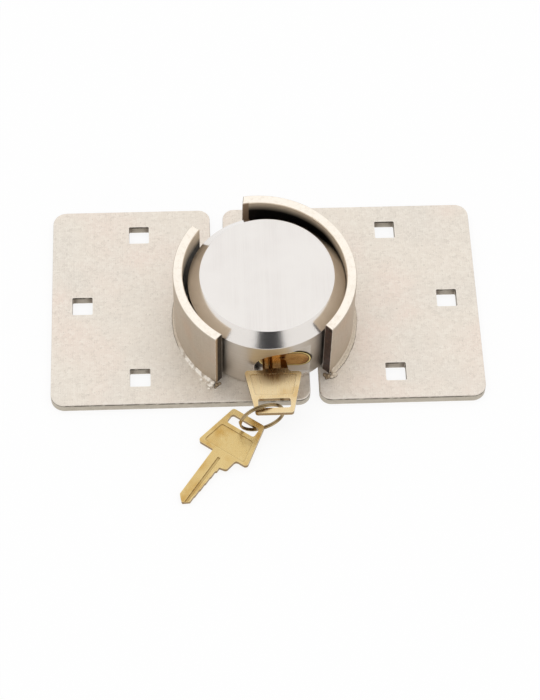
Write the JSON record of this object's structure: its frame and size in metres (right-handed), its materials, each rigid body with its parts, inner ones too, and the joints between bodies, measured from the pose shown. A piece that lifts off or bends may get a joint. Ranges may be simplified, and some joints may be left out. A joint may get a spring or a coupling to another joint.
{
  "type": "van hasp with round padlock",
  "caption": "Round hidden-shackle padlock in its guarded steel van hasp, key in the cylinder and a spare key on a split ring.",
  "frame": {"origin": "middle of the six bolt holes, on the undersides of the hasp plates", "axes": "+X along the hasp towards the right plate, +Y away from the key, +Z out of the door through the lock's flat top"},
  "size_m": [0.202, 0.1588, 0.0426],
  "materials": {
    "zinc_plate": "warm grained zinc coat",
    "shroud_steel": "zinc coat over drawn steel",
    "weld": "lumpy zinc-coated weld",
    "turned_steel": "turned and brushed stainless steel",
    "cylinder_brass": "machined brass",
    "key_brass": "satin pale brass",
    "ring_wire": "plated spring wire",
    "hard_steel": "ground hard steel"
  },
  "bodies": {
    "left_half": {"left_plate": "zinc_plate", "left_shroud": "shroud_steel", "left_shroud_weld": "weld", "left_staple": "shroud_steel", "left_staple_weld": "weld"},
    "right_half": {"right_plate": "zinc_plate", "right_shroud": "shroud_steel", "right_shroud_weld": "weld", "right_staple": "shroud_steel", "right_staple_weld": "weld"},
    "lock": {"lock_body": "turned_steel", "cylinder_housing": "cylinder_brass", "chamber_cover": "cylinder_brass", "cylinder_screw": "hard_steel", "driver_pin_1": "hard_steel", "driver_pin_2": "hard_steel", "driver_pin_3": "hard_steel", "driver_pin_4": "hard_steel", "driver_pin_5": "hard_steel", "pin_spring_1": "hard_steel", "pin_spring_2": "hard_steel", "pin_spring_3": "hard_steel", "pin_spring_4": "hard_steel", "pin_spring_5": "hard_steel"},
    "plug": {"cylinder_plug": "cylinder_brass", "plug_clip": "hard_steel", "drive_screw": "hard_steel", "key_pin_1": "cylinder_brass", "key_pin_2": "cylinder_brass", "key_pin_3": "cylinder_brass", "key_pin_4": "cylinder_brass", "key_pin_5": "cylinder_brass"},
    "bolt": {"lock_bolt": "hard_steel", "bolt_peg": "hard_steel"},
    "key": {"lock_key": "key_brass"},
    "ring": {"split_ring": "ring_wire"},
    "spare": {"spare_key": "key_brass"}
  },
  "joints": [
    {"name": "lock_lift", "type": "slide", "parent": "left_half", "child": "lock", "axis": [0, 0, 1], "range_m": [0, 0.04]},
    {"name": "right_half_drop", "type": "slide", "parent": "lock", "child": "right_half", "axis": [0, 0, -1], "range_m": [0, 0.04]},
    {"name": "plug_turn", "type": "hinge", "parent": "lock", "child": "plug", "pos_m": [0.0009, -0.03, 0.0191], "axis": [0, 1, 0], "range_deg": [0, 180]},
    {"name": "bolt_throw", "type": "slide", "parent": "lock", "child": "bolt", "axis": [0, 1, 0], "range_m": [0, 0.0158]},
    {"name": "key_withdraw", "type": "slide", "parent": "plug", "child": "key", "axis": [0, -1, 0], "range_m": [0, 0.026]},
    {"name": "ring_swing", "type": "hinge", "parent": "key", "child": "ring", "pos_m": [-0.0041, -0.0671, 0.0191], "axis": [0.9632, 0.2689, 0], "range_deg": [-25, 10]},
    {"name": "spare_swing", "type": "hinge", "parent": "ring", "child": "spare", "pos_m": [-0.0055, -0.0675, 0.0039], "axis": [0.8121, -0.5835, 0], "range_deg": [-10, 45]}
  ],
  "couplings": [
    {"joint": "bolt_throw", "follows": "plug_turn", "m_per_rad": 0.0050292}
  ]
}
